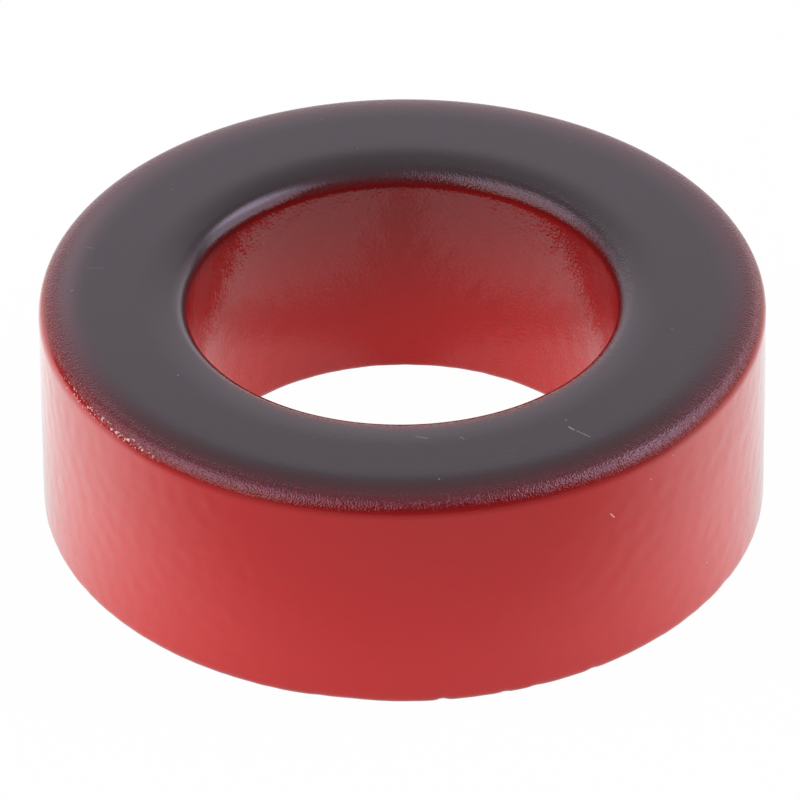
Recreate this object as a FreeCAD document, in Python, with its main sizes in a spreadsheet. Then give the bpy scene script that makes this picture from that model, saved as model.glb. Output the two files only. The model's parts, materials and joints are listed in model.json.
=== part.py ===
import FreeCAD, Part
import math
import os

import Sketcher
from FreeCAD import Vector

# Iron powder toroid core.
# A plain ring pressed from iron powder in one stroke and then painted, so it is one solid.
# It lies on one flat end: the origin is the centre of the lower end and +Z runs along the bore.
# The upper end is the one left grey. The punch that formed it rounded its two edges more
# generously than the edges of the lower end, so all four edge radii are separate sizes.

# Driving dimensions in millimetres. The ring's width runs from the outer wall in to the bore,
# which is 19.5 across.
SIZES = {
    "outer_diameter": 33.0,
    "ring_width": 6.75,
    "core_height": 11.1,
    "outer_top_edge": 1.05,
    "bore_top_edge": 1.1,
    "outer_bottom_edge": 0.45,
    "bore_bottom_edge": 0.4,
}

NODE = "toroid_core"

# How the sketch refers to its own origin and to its horizontal axis
ORIGIN = (-1, 1)
HORIZONTAL_AXIS = -1

# The two ends of a line or an arc, as the sketch numbers them
START, END = 1, 2

QUARTER_TURN = math.pi / 2


def write_sheet(document):
    """Keep every driving dimension in a spreadsheet cell of its own, named by an alias."""
    sheet = document.addObject("Spreadsheet::Sheet", "Sizes")
    for row, (alias, value) in enumerate(SIZES.items(), start=1):
        sheet.set(f"A{row}", alias)
        sheet.set(f"B{row}", str(value))
        sheet.setAlias(f"B{row}", alias)
    document.recompute()
    return sheet


def origin_plane(body, role):
    """The body's own origin plane that has this role, such as XZ_Plane."""
    return next(plane for plane in body.Origin.OriginFeatures if plane.Role == role)


def rounded_corner(centre, radius, quarter):
    """A quarter of a circle, counted anticlockwise in quarters from the +X direction."""
    circle = Part.Circle(Vector(*centre, 0), Vector(0, 0, 1), radius)
    return Part.ArcOfCircle(circle, quarter * QUARTER_TURN, (quarter + 1) * QUARTER_TURN)


def straight(start, end):
    """A straight edge of the section."""
    return Part.LineSegment(Vector(*start, 0), Vector(*end, 0))


def draw_section(body):
    """The ring's cross-section: a rectangle with four rounded corners, on the XZ plane.

    It is drawn anticlockwise from the lower end: X is the distance from the bore's axis
    and Y the height.
    """
    outer = SIZES["outer_diameter"] / 2
    bore = outer - SIZES["ring_width"]
    top = SIZES["core_height"]
    outer_top = SIZES["outer_top_edge"]
    bore_top = SIZES["bore_top_edge"]
    outer_bottom = SIZES["outer_bottom_edge"]
    bore_bottom = SIZES["bore_bottom_edge"]

    section = body.newObject("Sketcher::SketchObject", "RingSection")
    section.AttachmentSupport = (origin_plane(body, "XZ_Plane"), [""])
    section.MapMode = "FlatFace"

    lower_end = section.addGeometry(straight((bore + bore_bottom, 0), (outer - outer_bottom, 0)))
    outer_bottom_arc = section.addGeometry(
        rounded_corner((outer - outer_bottom, outer_bottom), outer_bottom, 3))
    outer_wall = section.addGeometry(straight((outer, outer_bottom), (outer, top - outer_top)))
    outer_top_arc = section.addGeometry(
        rounded_corner((outer - outer_top, top - outer_top), outer_top, 0))
    upper_end = section.addGeometry(straight((outer - outer_top, top), (bore + bore_top, top)))
    bore_top_arc = section.addGeometry(
        rounded_corner((bore + bore_top, top - bore_top), bore_top, 1))
    bore_wall = section.addGeometry(straight((bore, top - bore_top), (bore, bore_bottom)))
    bore_bottom_arc = section.addGeometry(
        rounded_corner((bore + bore_bottom, bore_bottom), bore_bottom, 2))

    # Each edge runs smoothly into the next, all the way round
    outline = [lower_end, outer_bottom_arc, outer_wall, outer_top_arc,
               upper_end, bore_top_arc, bore_wall, bore_bottom_arc]
    for edge, following in zip(outline, outline[1:] + outline[:1]):
        section.addConstraint(Sketcher.Constraint("Tangent", edge, END, following, START))

    # The ends are level, the walls upright, and the lower end lies on the ground
    section.addConstraint(Sketcher.Constraint("Horizontal", upper_end))
    section.addConstraint(Sketcher.Constraint("Vertical", outer_wall))
    section.addConstraint(Sketcher.Constraint("Vertical", bore_wall))
    section.addConstraint(
        Sketcher.Constraint("PointOnObject", lower_end, START, HORIZONTAL_AXIS))
    section.addConstraint(
        Sketcher.Constraint("PointOnObject", lower_end, END, HORIZONTAL_AXIS))

    # Where the outer wall and the upper end are, the ring's width, and how far each corner
    # is rounded
    def drive(constraint, name, expression):
        index = section.addConstraint(constraint)
        section.renameConstraint(index, name)
        section.setExpression(f"Constraints.{name}", expression)

    drive(Sketcher.Constraint("DistanceX", *ORIGIN, outer_wall, START, outer),
          "outer_wall_at", "Sizes.outer_diameter / 2")
    drive(Sketcher.Constraint("DistanceX", bore_wall, START, outer_wall, START, outer - bore),
          "width", "Sizes.ring_width")
    drive(Sketcher.Constraint("DistanceY", *ORIGIN, upper_end, START, top),
          "upper_end_at", "Sizes.core_height")
    drive(Sketcher.Constraint("Radius", outer_top_arc, outer_top),
          "outer_top_rounding", "Sizes.outer_top_edge")
    drive(Sketcher.Constraint("Radius", bore_top_arc, bore_top),
          "bore_top_rounding", "Sizes.bore_top_edge")
    drive(Sketcher.Constraint("Radius", outer_bottom_arc, outer_bottom),
          "outer_bottom_rounding", "Sizes.outer_bottom_edge")
    drive(Sketcher.Constraint("Radius", bore_bottom_arc, bore_bottom),
          "bore_bottom_rounding", "Sizes.bore_bottom_edge")
    return section


def make_ring(document):
    """The pressed ring: its section turned once round the bore's axis."""
    body = document.addObject("PartDesign::Body", "ToroidCore")
    body.Label = NODE
    section = draw_section(body)
    ring = body.newObject("PartDesign::Revolution", "Ring")
    ring.Profile = section
    ring.ReferenceAxis = (section, ["V_Axis"])
    ring.Angle = 360
    body.Placement = FreeCAD.Placement()
    return body


def check_document(document, bodies):
    """Stop before anything is written if a feature failed or a solid isn't sound."""
    for item in document.Objects:
        if "Invalid" in item.State or "Error" in item.State:
            raise RuntimeError(f"{item.Name} failed: {item.State}")
    for body in bodies:
        if body.Shape.isNull() or not body.Shape.isValid():
            raise RuntimeError(f"{body.Label} has no valid shape")


def main():
    document = FreeCAD.newDocument("ToroidCore")
    write_sheet(document)
    bodies = [make_ring(document)]
    document.recompute()
    check_document(document, bodies)
    os.makedirs("parts", exist_ok=True)
    for body in bodies:
        body.Shape.exportStep(f"parts/{body.Label}.step")
        size = body.Shape.optimalBoundingBox()
        print(f"{body.Label}: {body.Shape.Volume:.1f} mm3, "
              f"{size.XLength:.3f} x {size.YLength:.3f} x {size.ZLength:.3f} mm")


main()
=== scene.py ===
import json
import math

import bpy
import numpy as np
from mathutils import Matrix, Vector


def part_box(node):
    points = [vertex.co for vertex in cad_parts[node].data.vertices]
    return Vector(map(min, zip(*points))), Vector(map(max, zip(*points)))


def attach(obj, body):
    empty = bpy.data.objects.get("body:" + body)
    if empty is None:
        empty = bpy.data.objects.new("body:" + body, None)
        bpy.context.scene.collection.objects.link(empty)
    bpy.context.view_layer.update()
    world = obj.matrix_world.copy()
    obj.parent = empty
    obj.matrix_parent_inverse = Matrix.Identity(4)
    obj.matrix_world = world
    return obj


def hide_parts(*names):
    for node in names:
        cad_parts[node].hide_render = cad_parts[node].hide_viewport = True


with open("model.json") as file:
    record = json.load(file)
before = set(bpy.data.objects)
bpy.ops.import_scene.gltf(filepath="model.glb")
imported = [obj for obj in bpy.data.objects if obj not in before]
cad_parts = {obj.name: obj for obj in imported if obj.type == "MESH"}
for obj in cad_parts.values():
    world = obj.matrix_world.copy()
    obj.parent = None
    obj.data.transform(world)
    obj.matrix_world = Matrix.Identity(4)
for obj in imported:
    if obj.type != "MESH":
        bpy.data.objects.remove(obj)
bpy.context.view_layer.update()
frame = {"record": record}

# The ring's form
# The core is a plain ring pressed from iron powder. Its upper edges are rounded more than its lower
# ones, with a shallow shoulder before each. The paint on its walls lies in low, soft waves, and the
# lower outer edge has a few small chips from handling. All sizes are in millimetres.

MM = 0.001
low_corner, high_corner = (np.array(corner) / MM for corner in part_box("toroid_core"))
bore_mount = next(mount for mount in frame["record"]["mounts"] if mount["name"] == "bore")
outer_radius = (high_corner[0] - low_corner[0]) / 2
bore_radius = bore_mount["dims"]["r_mm"]
height = high_corner[2] - low_corner[2]
middle_radius = (outer_radius + bore_radius) / 2
outer_top_edge, bore_top_edge = 1.05, 1.1
outer_bottom_edge, bore_bottom_edge = 0.45, 0.4

# The shoulder: its steepest tilt in degrees, and how far it reaches before and past the flat's rim
shoulder_tilt = 9
shoulder_on_flat, shoulder_past_flat = 1.2, 0.35
shoulder_steps, rim_steps = 6, 14

steps_round = 600
farthest_past_flat = 12.0

# Each chip of the lower outer edge: azimuth in degrees from the front, width and depth. The last
# two lie at the back, where the photo doesn't show the edge, and are guesses.
edge_chips = [
    (5.9, 0.22, 0.10),
    (15.8, 0.20, 0.07),
    (20.9, 0.30, 0.05),
    (30.8, 0.25, 0.06),
    (-9.0, 1.10, 0.07),
    (-13.5, 0.50, 0.04),
    (62.0, 0.35, 0.05),
    (141.0, 0.30, 0.08),
    (-128.0, 0.40, 0.06),
]
chip_reach = 0.35

# Each set of the paint's waves: wavelength, height and the seed of its random directions. The waves
# start this far past the flat's rim, and have their full height 1 mm further on.
wave_sets = [(1.05, 0.0034, 11), (0.60, 0.0018, 12)]
waves_in_set = 48
waves_start = 1.0


def run(start, end, steps):
    """A straight stretch of the section: points from start towards end, and their normals.

    The normal is the direction of travel turned a quarter clockwise, which is outwards for a
    section that is followed anticlockwise.
    """
    along = np.linspace(0, 1, steps, endpoint=False)[:, None]
    start, end = np.array(start), np.array(end)
    direction = (end - start) / np.linalg.norm(end - start)
    return start + along * (end - start), np.tile([direction[1], -direction[0]], (steps, 1))


def corner(centre, radius, start, end, steps):
    """A rounded corner of the section: an arc between two angles, with normals from its centre."""
    angle = np.radians(np.linspace(start, end, steps, endpoint=False))
    normals = np.stack([np.cos(angle), np.sin(angle)], axis=1)
    return np.array(centre) + radius * normals, normals


def upper_corner(wall, side, edge):
    """A rim of the upper end, from the end to the wall: a shallow shoulder, then a rounded edge.

    The shoulder slopes down gently along a parabola before the edge turns down. Side is 1 for
    the outer rim and -1 for the bore's.
    """
    slope = math.tan(math.radians(shoulder_tilt))
    length = shoulder_on_flat + shoulder_past_flat
    drop = slope * length / 2
    foot = wall - side * (edge + shoulder_on_flat)
    along = np.linspace(0, 1, shoulder_steps, endpoint=False)
    points = np.stack([foot + side * length * along, height - drop * along ** 2], axis=1)
    tilt = np.arctan(slope * along)

    radius = (edge - shoulder_past_flat) / (1 - math.sin(math.radians(shoulder_tilt)))
    centre = (wall - side * radius, height - drop - radius * math.cos(math.radians(shoulder_tilt)))
    turn = np.radians(np.linspace(shoulder_tilt, 90, rim_steps))
    arc = np.array(centre) + radius * np.stack([side * np.sin(turn), np.cos(turn)], axis=1)
    tilt = np.concatenate([tilt, turn])
    return np.concatenate([points, arc]), np.stack([side * np.sin(tilt), np.cos(tilt)], axis=1)


def ring_section():
    """The section's outline as (distance from the axis, height), anticlockwise from the lower end.

    Also how far each point lies past the nearer of the upper end's two rims, measured over the
    surface, negative on the flat itself and counted no further than farthest_past_flat. The last
    number of each run and corner is how many steps it has.
    """
    outer_rim = upper_corner(outer_radius, 1, outer_top_edge)
    bore_rim = upper_corner(bore_radius, -1, bore_top_edge)
    outer_foot = outer_radius - outer_top_edge - shoulder_on_flat
    bore_foot = bore_radius + bore_top_edge + shoulder_on_flat
    stretches = [
        run((bore_radius + bore_bottom_edge, 0), (outer_radius - outer_bottom_edge, 0), 8),
        corner((outer_radius - outer_bottom_edge, outer_bottom_edge), outer_bottom_edge,
               270, 360, 7),
        run((outer_radius, outer_bottom_edge), outer_rim[0][-1], 56),
        tuple(part[:0:-1] for part in outer_rim),
        run((outer_foot, height), (bore_foot, height), 6),
        tuple(part[:-1] for part in bore_rim),
        run(bore_rim[0][-1], (bore_radius, bore_bottom_edge), 42),
        corner((bore_radius + bore_bottom_edge, bore_bottom_edge), bore_bottom_edge,
               180, 270, 6),
    ]
    points = np.concatenate([stretch[0] for stretch in stretches])
    normals = np.concatenate([stretch[1] for stretch in stretches])
    steps = np.linalg.norm(np.roll(points, -1, axis=0) - points, axis=1)
    travelled = np.concatenate([[0], np.cumsum(steps)[:-1]])
    flat_starts = sum(len(stretch[0]) for stretch in stretches[:4])
    flat_ends = sum(len(stretch[0]) for stretch in stretches[:5])
    past_flat = np.maximum(travelled[flat_starts] - travelled, travelled - travelled[flat_ends])
    past_flat = past_flat - shoulder_on_flat
    return points, normals, np.minimum(past_flat, farthest_past_flat)


def carried_round(pairs, angle):
    """Pairs of distance from the axis and height, carried round: x = d sin a, y = -d cos a, z = h."""
    distance, level = pairs[None, :, 0], pairs[None, :, 1]
    around = angle[:, None]
    return np.stack([distance * np.sin(around), -distance * np.cos(around),
                     level + 0 * around], axis=-1)


def soft_waves(points, wavelength, seed):
    """Smooth noise, mostly from -2 to 2: a sum of plane waves of one length, in random directions."""
    random = np.random.default_rng(seed)
    directions = random.normal(size=(waves_in_set, 3))
    directions *= (2 * math.pi / wavelength) / np.linalg.norm(directions, axis=1, keepdims=True)
    phases = random.uniform(0, 2 * math.pi, waves_in_set)
    return np.sin(points @ directions.T + phases).sum(axis=-1) / math.sqrt(waves_in_set / 2)


def chips_cut(points, angle):
    """How deep the chips cut: each is a bell curve of the way round, fading out from the lower edge."""
    from_edge = np.hypot(np.hypot(points[..., 0], points[..., 1]) - outer_radius, points[..., 2])
    depth = 0
    for azimuth, width, chip_depth in edge_chips:
        way_round = np.mod(angle - math.radians(azimuth) + math.pi, 2 * math.pi) - math.pi
        depth = depth + chip_depth * np.exp(-(way_round * outer_radius / width) ** 2)[:, None]
    return depth * np.exp(-(from_edge / chip_reach) ** 2)


def closed_grid(columns, rows):
    """The faces between neighbouring columns and rows of a grid that closes on itself both ways."""
    column, row = np.meshgrid(np.arange(columns), np.arange(rows), indexing="ij")
    next_column, next_row = (column + 1) % columns, (row + 1) % rows
    corners = [column * rows + row, next_column * rows + row,
               next_column * rows + next_row, column * rows + next_row]
    return np.stack(corners, axis=-1).reshape(-1, 4)


# Where the red paint stops on the rounded edges of the upper end: azimuths in degrees from the
# front, and how far past the flat's rim the paint's edge runs there. The parts of the rims that the
# photo doesn't show are guesses.
outer_edge_at = [-180, -120, -85, -60, -45, -30, -15, 0, 15, 30, 45, 60, 85, 120, 180]
outer_paint_edge = [1.00, 0.95, 0.60, 0.70, 0.90, 0.96, 0.94, 0.91, 0.92, 0.98, 1.07, 0.92, 0.80,
                    0.95, 1.00]
bore_edge_at = [-180, -150, -120, -90, -60, -45, -30, 0, 30, 45, 60, 90, 120, 150, 180]
bore_paint_edge = [1.15, 1.12, 1.32, 1.42, 0.80, 0.45, 0.32, 0.26, 0.26, 0.35, 0.60, 1.12, 1.02,
                   1.02, 1.13]


def ring_mesh():
    """The section carried round the axis, with the paint's waves pushed out along the normals."""
    section, section_normals, past_flat = ring_section()
    angle = np.linspace(-math.pi, math.pi, steps_round, endpoint=False)
    points = carried_round(section, angle)
    normals = carried_round(section_normals, angle)
    painted = np.clip(past_flat - waves_start, 0, 1)
    swell = sum(wave_height * soft_waves(points, wavelength, seed)
                for wavelength, wave_height, seed in wave_sets)
    points = points + normals * (swell * painted - chips_cut(points, angle))[..., None]

    outer = np.interp(np.degrees(angle), outer_edge_at, outer_paint_edge)[:, None]
    bore = np.interp(np.degrees(angle), bore_edge_at, bore_paint_edge)[:, None]
    on_bore_side = section[None, :, 0] < middle_radius
    past_paint = past_flat[None, :] - np.where(on_bore_side, bore, outer)

    mesh = bpy.data.meshes.new("toroid_ring")
    mesh.from_pydata(points.reshape(-1, 3) * MM, [], closed_grid(*points.shape[:2]))
    mesh.shade_smooth()
    for name, values in [("past_flat", past_flat + 0 * past_paint), ("past_paint", past_paint)]:
        mesh.attributes.new(name, "FLOAT", "POINT").data.foreach_set("value", values.ravel())
    return mesh


ring = bpy.data.objects.new("toroid_ring", ring_mesh())
bpy.context.scene.collection.objects.link(ring)
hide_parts("toroid_core")
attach(ring, "root")


# The ring's finish
# Red paint covers the bore, the outer wall and the lower end. The upper end is left bare, so the
# iron powder shows there, grey under a clear lacquer. The paint's edge on the rounded rims is frayed
# into short hairs, and a maroon mist of it thins out over the grey.

class Shade:
    """A socket of a material's node tree, on which masks and mixes are written as sums."""

    def __init__(self, tree, socket=None):
        self.tree = tree
        self.socket = socket

    def node(self, kind, settings=None, values=None, output=0):
        """Adds a node: first its settings, then the values or links of its inputs."""
        made = self.tree.nodes.new(kind)
        for name, setting in (settings or {}).items():
            setattr(made, name, setting)
        for name, value in (values or {}).items():
            if isinstance(value, Shade):
                self.tree.links.new(value.socket, made.inputs[name])
            else:
                made.inputs[name].default_value = value
        return Shade(self.tree, made.outputs[output] if made.outputs else None)

    def other(self, output):
        """Another output of the same node."""
        return Shade(self.tree, self.socket.node.outputs[output])

    def math(self, operation, *terms):
        return self.node("ShaderNodeMath", {"operation": operation}, dict(enumerate(terms)))

    def vector(self, operation, *terms, output=0):
        return self.node("ShaderNodeVectorMath", {"operation": operation},
                         dict(enumerate(terms)), output)

    def scaled(self, factor):
        """This vector times a number."""
        return self.node("ShaderNodeVectorMath", {"operation": "SCALE"}, {0: self, "Scale": factor})

    def noise(self, size, detail=0.0):
        """Noise from 0 to 1, with bumps of about this size, where this vector is the place."""
        return self.node("ShaderNodeTexNoise", {}, {"Vector": self, "Scale": 1 / size,
                                                    "Detail": detail})

    def rises(self, low, high):
        """0 below low, 1 above high, and a smooth step between."""
        return self.node("ShaderNodeMapRange", {"interpolation_type": "SMOOTHSTEP"},
                         {"Value": self, "From Min": low, "From Max": high})

    def colours(self, first, second):
        """The first colour where this mask is 0, the second where it is 1."""
        return self.node("ShaderNodeMix", {"data_type": "RGBA"}, {0: self, 6: first, 7: second}, 2)

    def __add__(self, other):
        return self.math("ADD", self, other)

    def __radd__(self, other):
        return self.math("ADD", other, self)

    def __sub__(self, other):
        return self.math("SUBTRACT", self, other)

    def __rsub__(self, other):
        return self.math("SUBTRACT", other, self)

    def __mul__(self, other):
        return self.math("MULTIPLY", self, other)


# Colours of the full coat, of the thin coat near the rims, of the mist, the grey and the marks. The
# bore's darker thin coat and mist are painted shade, and the pale flecks are painted glints
paint_red = (0.92, 0.014, 0.015, 1)
thin_paint_red = (0.20, 0.004, 0.005, 1)
shaded_thin_bore_red = (0.12, 0.010, 0.011, 1)
mist_red = (0.26, 0.019, 0.029, 1)
shaded_bore_mist_red = (0.13, 0.020, 0.024, 1)
powder_grey = (0.0545, 0.0425, 0.045, 1)
lacquer_tint = (0.90, 0.76, 1.0, 1)
dust_pale = (0.35, 0.33, 0.36, 1)
dent_dark = (0.04, 0.03, 0.04, 1)
scuff_pale = (0.90, 0.62, 0.58, 1)
painted_glint_pale = (0.95, 0.60, 0.63, 1)

# How fast the hairs' pattern changes down the rim, as a share of how fast it changes round it
hair_stretch = 0.22

# Sizes of the patterns across, and how far the bumps stand up, all in millimetres
hair_width, grain_size, blotch_size, glint_size = 0.080, 0.070, 2.2, 0.12
peel_size, fine_peel_size, ragged_size = 0.30, 0.11, 0.15
grain_height, band_grain_height, band_hair_height = 0.0028, 0.024, 0.020
peel_height, fine_peel_height, ragged_height, bead_height = 0.0035, 0.0015, 0.015, 0.030

# The mist: its strength at the paint's edge, how fast it thins out per millimetre from there, and
# how much faster it does so in the bore
mist_strength, mist_falloff, bore_mist_falloff = 0.85, 1.5, 3.0

# How bright the red is, where 1 is the full coat: at the rims, and what it gains further down, on the
# wall and in the bore. The bore's darker upper part is painted shade, and the gain further down is
# painted bounce light from the table. Then the share of painted light it gains at the ring's left and
# right sides, and how much less in the bore
wall_red, wall_light_gain = 0.58, 0.25
shaded_bore_red, bore_light_gain = 0.23, 0.77
side_light_gain, bore_side_light_loss = 0.20, 0.10

# The pale flecks lie on the left front of the outer rim: their direction from the axis, and how far out
# along it they begin and are fully there. They are painted glints of the left soft box
glints_towards = (-0.82, -0.57, 0)
glints_from, glints_full = 15.75, 16.15

# Marks on the upper end, as x and y of their two ends, half width, and strength
pale_marks = [
    ((0.57, -11.40), (1.05, -11.56), 0.035, 0.45),
    ((2.52, -11.50), (2.69, -11.65), 0.030, 0.40),
    ((7.24, -10.25), (7.26, -10.27), 0.045, 0.35),
    ((7.36, -10.79), (7.58, -11.03), 0.035, 0.80),
    ((7.71, -11.10), (8.28, -11.57), 0.028, 0.50),
    ((1.56, -14.68), (1.57, -14.68), 0.040, 0.80),
    ((-14.96, 0.24), (-14.95, 0.25), 0.060, 0.40),
    ((-10.06, -6.54), (-10.05, -6.54), 0.045, 0.40),
    ((-14.28, 2.00), (-13.59, 1.99), 0.030, 0.15),
    ((-14.40, 3.72), (-14.05, 3.60), 0.030, 0.20),
    ((-14.80, -3.77), (-14.79, -3.77), 0.040, 0.25),
    ((-10.57, 8.35), (-10.56, 8.35), 0.035, 0.25),
    ((-3.68, 14.17), (-3.67, 14.17), 0.035, 0.25),
    ((-2.01, 11.63), (-2.00, 11.63), 0.035, 0.25),
    ((1.87, 10.67), (1.88, 10.67), 0.035, 0.25),
    ((7.80, 12.00), (7.81, 12.00), 0.035, 0.25),
    ((9.90, 3.85), (9.91, 3.85), 0.035, 0.25),
    ((10.95, -0.45), (10.97, -0.45), 0.035, 0.30),
    ((11.02, -0.95), (11.04, -0.95), 0.035, 0.25),
    ((10.93, -1.40), (10.95, -1.40), 0.030, 0.30),
    ((11.15, 0.30), (11.17, 0.30), 0.030, 0.25),
    ((12.14, -3.22), (12.15, -3.22), 0.040, 0.25),
]
dark_marks = [
    ((3.58, -11.51), (3.60, -11.51), 0.045, 0.40),
    ((4.33, -11.83), (4.45, -11.85), 0.060, 0.15),
]

# Marks on the outer wall, as azimuth and height of their two ends, half width, and strength
wall_marks = [
    ((33.75, 8.43), (34.45, 8.17), 0.026, 1.00),
    ((41.7, 9.30), (41.8, 9.30), 0.030, 0.50),
    ((46.5, 9.90), (46.6, 9.90), 0.030, 0.45),
    ((55.7, 2.50), (55.8, 2.50), 0.035, 0.60),
]


def mark(place, start, end, half_width, strength):
    """A scratch or speck: strong within half a width of the line from start to end, then fading."""
    along = end - start
    from_start = place.vector("SUBTRACT", place, start)
    share = from_start.vector("DOT_PRODUCT", from_start, along / along.length_squared, output=1)
    share = share.node("ShaderNodeClamp", {}, {"Value": share})
    foot = share.node("ShaderNodeVectorMath", {"operation": "SCALE"}, {0: along, "Scale": share})
    distance = foot.vector("DISTANCE", foot, from_start, output=1)
    return (1 - distance.rises(half_width * 0.4, half_width * 1.6)) * strength


def all_marks(place, marks, on_surface):
    """The strongest of the marks at each place. On_surface turns a mark's ends into points in space."""
    strongest = None
    for start, end, half_width, strength in marks:
        found = mark(place, on_surface(*start), on_surface(*end), half_width, strength)
        strongest = found if strongest is None else found.math("MAXIMUM", found, strongest)
    return strongest


def on_upper_end(x, y):
    """A point of the upper end."""
    return Vector((x, y, height))


def on_outer_wall(azimuth, level):
    """A point of the outer wall: its azimuth in degrees from the front, and its height."""
    turn = math.radians(azimuth)
    return Vector((outer_radius * math.sin(turn), -outer_radius * math.cos(turn), level))


def ring_finish():
    """Lacquered powder and red paint, mixed by where the paint's frayed edge runs."""
    finish = bpy.data.materials.new("painted_iron_powder")
    finish.use_nodes = True
    tree = finish.node_tree
    tree.nodes.clear()
    bare = Shade(tree)

    place = bare.node("ShaderNodeTexCoord", output="Object").scaled(1 / MM)
    past_flat = bare.node("ShaderNodeAttribute", {"attribute_name": "past_flat"}, output="Fac")
    past_paint = bare.node("ShaderNodeAttribute", {"attribute_name": "past_paint"}, output="Fac")

    # A place on the rim's circle, so that a pattern on it has spokes across the rounded edge
    from_axis = place.vector("MULTIPLY", place, (1, 1, 0))
    spoke = from_axis.vector("NORMALIZE", from_axis).scaled(middle_radius)
    along_hair = bare.node("ShaderNodeCombineXYZ", {}, {"Z": past_flat * hair_stretch})
    hair = spoke.vector("ADD", spoke, along_hair).noise(hair_width, 1.0) - 0.5
    grain = place.noise(grain_size) - 0.5
    blotch = place.noise(blotch_size, 2.0) - 0.5
    radius = from_axis.vector("LENGTH", from_axis, output=1)
    in_bore = 1 - radius.rises(middle_radius - 0.3, middle_radius + 0.3)

    # The mist of paint thins out over the grey, in a faint stipple
    falloff = mist_falloff + in_bore * bore_mist_falloff
    mist = past_paint.math("EXPONENT", past_paint * falloff) * mist_strength
    misted = mist * (1 + hair * 0.9 + grain * 0.9) * past_flat.rises(-1.3, -0.3)

    # Hairs and grain fray the line where paint covers powder, and the coat thickens past it. The
    # band round that line is rough, but smoother in the bore, above all at its left
    cover = (past_paint * 1.6 - hair * 1.5 - grain * 0.8).rises(-0.12, 0.12)
    thick = past_paint.rises(-0.05, 0.75)
    to_right = place.vector("DOT_PRODUCT", place, (1, 0, 0), output=1)
    smooth = in_bore * (0.9 - to_right.rises(-4, 1) * 0.45)
    in_band = past_flat.rises(-0.3, 0.8) * (1 - past_paint.rises(0.1, 0.4)) * (1 - smooth)

    # The grey end with its marks, under the mist
    powder = all_marks(place, pale_marks, on_upper_end).colours(powder_grey, dust_pale)
    powder = all_marks(place, dark_marks, on_upper_end).colours(powder, dent_dark)
    # The mist is darker in the bore: painted shade
    powder = misted.colours(powder, in_bore.colours(mist_red, shaded_bore_mist_red))

    # The red is lighter further down, a painted bounce light from the table, and at the ring's left and
    # right sides, a painted light
    lighter_down_wall = wall_red + past_flat.rises(0, farthest_past_flat) * wall_light_gain
    lighter_down_bore = shaded_bore_red + past_flat.rises(1, farthest_past_flat) * bore_light_gain
    sideways = spoke.vector("ABSOLUTE", spoke)
    sideways = sideways.vector("DOT_PRODUCT", sideways, (1 / middle_radius, 0, 0), output=1)
    painted_side_light = 1 + sideways.rises(0.3, 1.0) * (side_light_gain - in_bore * bore_side_light_loss)
    # Depth here is the thin coat near the rims times the painted light further down and at the sides
    depth = thick * (lighter_down_wall + in_bore * (lighter_down_bore - lighter_down_wall)) * painted_side_light
    # The thin coat is darker in the bore: painted shade
    paint = depth.colours(in_bore.colours(thin_paint_red, shaded_thin_bore_red), paint_red)
    paint = all_marks(place, wall_marks, on_outer_wall).colours(paint, scuff_pale)
    # Pale specks at the left front of the outer rim: painted glints of the left soft box
    towards_glints = place.vector("DOT_PRODUCT", place, glints_towards, output=1)
    painted_glints = place.noise(glint_size, 1.0).rises(0.57, 0.67) * towards_glints.rises(glints_from, glints_full)
    painted_glints = painted_glints * past_flat.rises(0.8, 0.95) * (1 - past_flat.rises(1.1, 1.3))
    paint = painted_glints.colours(paint, painted_glint_pale)

    # The grey's grain stands up in the band; the red has orange peel, and beads near its edge
    grainy = grain * (grain_height + in_band * band_grain_height)
    hairy = hair * in_band * band_hair_height
    grey_bump = bare.node("ShaderNodeBump", {}, {"Height": grainy + hairy, "Distance": MM})
    fine_peel = place.noise(fine_peel_size, 1.0) * (1 - in_bore) * fine_peel_height
    peel = place.noise(peel_size, 1.0) * peel_height + fine_peel
    ragged = place.noise(ragged_size, 2.0) * in_bore * ragged_height
    near_edge = (1 - past_paint.rises(0.0, 0.4)) * (1 - smooth)
    beads = (hair + grain) * near_edge * bead_height
    red_bump = bare.node("ShaderNodeBump", {}, {"Height": peel + ragged + beads, "Distance": MM})

    lacquered = bare.node("ShaderNodeBsdfPrincipled", {}, {
        "Base Color": powder, "Roughness": 0.22 + blotch * 0.04, "Normal": grey_bump,
        "Specular IOR Level": 0.8, "Specular Tint": lacquer_tint})
    painted = bare.node("ShaderNodeBsdfPrincipled", {}, {
        "Base Color": paint, "Normal": red_bump,
        "Roughness": 0.18 - in_bore * 0.08 - in_band * 0.06 + blotch * 0.04,
        "Coat Weight": past_paint.rises(0.2, 0.7) * (1 - in_bore), "Coat Roughness": 0.08})
    surface = bare.node("ShaderNodeMixShader", {}, {0: cover, 1: lacquered, 2: painted})
    bare.node("ShaderNodeOutputMaterial", {}, {"Surface": surface})
    return finish


ring.data.materials.append(ring_finish())


# The table
# A plain white table top that the ring stands on. It is white to the camera and pale in the ring's
# reflections, and keeps a trace of the ring's soft shadow.

# How much of the table's look to the camera is plain white, the rest being its matt surface
camera_white = 0.985

# How bright the table is in reflections, where 1 is white: inside the ring along the middle and
# what it gains at the sides, in front of the ring, and close round it, and what it loses at right
in_ring_middle, in_ring_side_gain = 0.55, 0.4
in_front, close_round, loss_at_right = 0.35, 0.82, 0.1


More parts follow.
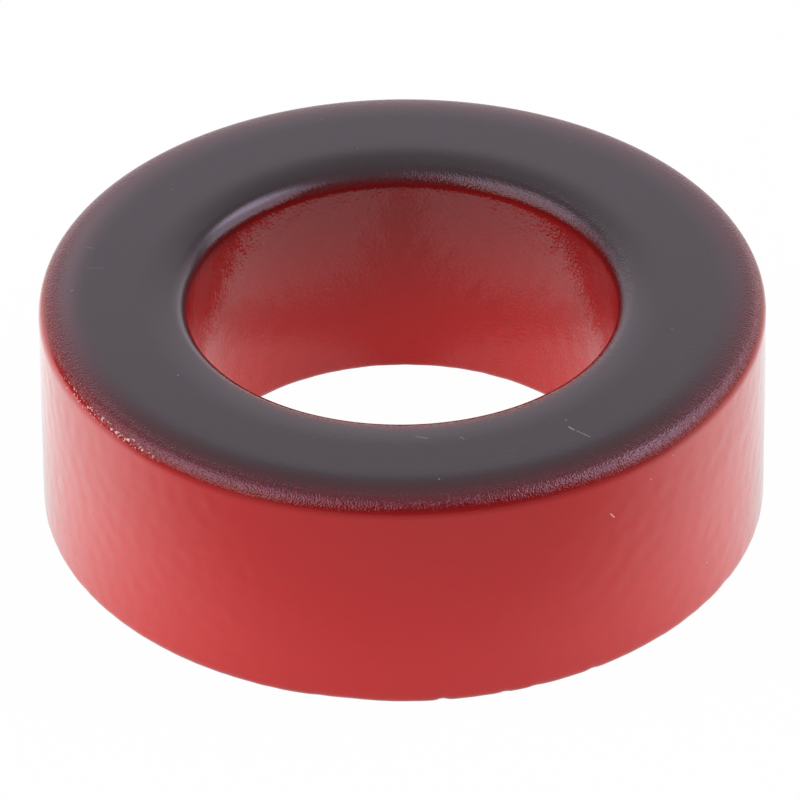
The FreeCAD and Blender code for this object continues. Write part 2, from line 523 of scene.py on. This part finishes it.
def white_table():
    """Matt white, which is mostly plain white light to the camera, and plain light to reflections.

    Reflections get less of that light inside the ring, in front of it, close round it and at its
    right, by as much as the photo's reflections ask for.
    """
    table = bpy.data.materials.new("white_table")
    table.use_nodes = True
    tree = table.node_tree
    tree.nodes.clear()
    bare = Shade(tree)
    matt = bare.node("ShaderNodeBsdfPrincipled", {}, {
        "Base Color": (0.92, 0.92, 0.92, 1), "Roughness": 0.9, "Specular IOR Level": 0.0})
    place = bare.node("ShaderNodeTexCoord", output="Object").scaled(1 / MM)
    distance = place.vector("LENGTH", place, output=1)
    across = place.vector("DOT_PRODUCT", place, (1, 0, 0), output=1)
    back = place.vector("DOT_PRODUCT", place, (0, 1, 0), output=1)
    # These losses of the table's light in reflections are painted shade: the ring's shadow inside, in
    # front of and close round it, and less light at its right
    off_middle = across.math("ABSOLUTE", across).rises(0.5, 2.5)
    in_ring = in_ring_middle + off_middle * in_ring_side_gain
    not_front = in_front + back.rises(-24, -4) * (1 - in_front)
    around = not_front * (close_round + distance.rises(16, 22) * (1 - close_round))
    around = around * (1 - across.rises(8, 24) * loss_at_right)
    in_gloss = in_ring + distance.rises(10, 16) * (around - in_ring)
    to_camera = bare.node("ShaderNodeLightPath", output="Is Camera Ray")
    to_gloss = to_camera.other("Is Glossy Ray")
    to_glass = to_camera.other("Is Transmission Ray")
    brightness = to_camera.math("MAXIMUM", to_camera, in_gloss)
    glow = bare.node("ShaderNodeBsdfPrincipled", {}, {
        "Base Color": (0, 0, 0, 1), "Roughness": 1.0, "Specular IOR Level": 0.0,
        "Emission Color": brightness, "Emission Strength": 1.0})
    seen = to_camera * camera_white + to_gloss.math("MAXIMUM", to_gloss, to_glass)
    surface = bare.node("ShaderNodeMixShader", {}, {0: seen, 1: matt, 2: glow})
    bare.node("ShaderNodeOutputMaterial", {}, {"Surface": surface})
    return table


table_reach = 2000 * MM
table_level = -0.02 * MM
table_mesh = bpy.data.meshes.new("table")
table_corners = [(-table_reach, -table_reach, table_level), (table_reach, -table_reach, table_level),
                 (table_reach, table_reach, table_level), (-table_reach, table_reach, table_level)]
table_mesh.from_pydata(table_corners, [], [(0, 1, 2, 3)])
table_mesh.materials.append(white_table())
table = bpy.data.objects.new("table", table_mesh)
bpy.context.scene.collection.objects.link(table)


# The studio light
# A large soft box stands at the left and one at the right, with a smaller, cooler light over the
# right one's upper back part. Behind are a low and a high backdrop light, and a small glow that
# adds to the high one, left of its middle.

plain_white = (1, 1, 1)
cool_white = (0.93, 0.90, 1.0)

# Each lamp: azimuth from the front and elevation, the width and height of what it covers as seen
# from the ring, all in degrees, how bright its face is, where 1 is white, and its colour
lamps = {
    "left_soft_box": (-70, 37, 66, 54, 1.82, plain_white),
    "right_soft_box": (86, 32, 52, 48, 1.55, plain_white),
    "right_box_heart": (104, 50, 32, 24, 2.2, cool_white),
    "low_backdrop_light": (180, 9, 104, 18, 1.1, plain_white),
    "high_backdrop_light": (180, 29, 104, 22, 0.68, plain_white),
    "left_backdrop_glow": (-163, 31, 14, 12, 0.6, plain_white),
}
lamp_distance = 500 * MM

# How bright the plain surround is to everything but the camera, which sees it white
surround_strength = 0.125

for name, (azimuth, elevation, across, upright, brightness, colour) in lamps.items():
    light = bpy.data.lights.new(name, "AREA")
    light.shape = "RECTANGLE"
    light.size = 2 * lamp_distance * math.tan(math.radians(across / 2))
    light.size_y = 2 * lamp_distance * math.tan(math.radians(upright / 2))
    # A lamp's face sends out its power divided by pi and by its area
    light.energy = brightness * math.pi * light.size * light.size_y
    light.color = colour
    lamp = bpy.data.objects.new(name, light)
    turn, rise = math.radians(azimuth), math.radians(elevation)
    towards = Vector((math.sin(turn) * math.cos(rise), -math.cos(turn) * math.cos(rise),
                      math.sin(rise)))
    lamp.location = towards * lamp_distance
    lamp.rotation_euler = towards.to_track_quat("Z", "Y").to_euler()
    lamp.visible_camera = False
    bpy.context.scene.collection.objects.link(lamp)

world = bpy.data.worlds.new("white_surround")
world.use_nodes = True
world.node_tree.nodes.clear()
sky = Shade(world.node_tree)
direct = sky.node("ShaderNodeLightPath", output="Is Camera Ray")
strength = surround_strength + direct * (1 - surround_strength)
surround = sky.node("ShaderNodeBackground", {}, {"Color": (1, 1, 1, 1), "Strength": strength})
sky.node("ShaderNodeOutputWorld", {}, {"Surface": surround}, None)
bpy.context.scene.world = world


# The camera
# A long lens looks down on the ring from the front. It aims a little to the left of the ring's
# middle and below it, and is rolled by less than half a degree. Lengths are in millimetres.

camera_elevation = math.radians(35.06)
camera_distance = 450.7
camera_lens = 444.6
aim_right, aim_up = -0.134, -0.417
camera_roll = math.radians(-0.45)

middle = Vector((0, 0, height / 2)) * MM
level_right = Vector((1, 0, 0))
level_up = Vector((0, math.sin(camera_elevation), math.cos(camera_elevation)))
place = middle + level_right.cross(level_up) * camera_distance * MM
aim = middle + (level_right * aim_right + level_up * aim_up) * MM
back = (place - aim).normalized()
side = Vector((0, 0, 1)).cross(back).normalized()
top = back.cross(side)
rolled_side = side * math.cos(camera_roll) + top * math.sin(camera_roll)
rolled_top = top * math.cos(camera_roll) - side * math.sin(camera_roll)
camera_data = bpy.data.cameras.new("camera")
camera_data.sensor_width = 36
camera_data.lens = camera_lens
camera = bpy.data.objects.new("camera", camera_data)
camera.matrix_world = (Matrix.Translation(place)
                       @ Matrix((rolled_side, rolled_top, back)).transposed().to_4x4())
bpy.context.scene.collection.objects.link(camera)
bpy.context.scene.camera = camera
bpy.context.scene.view_settings.view_transform = "Standard"
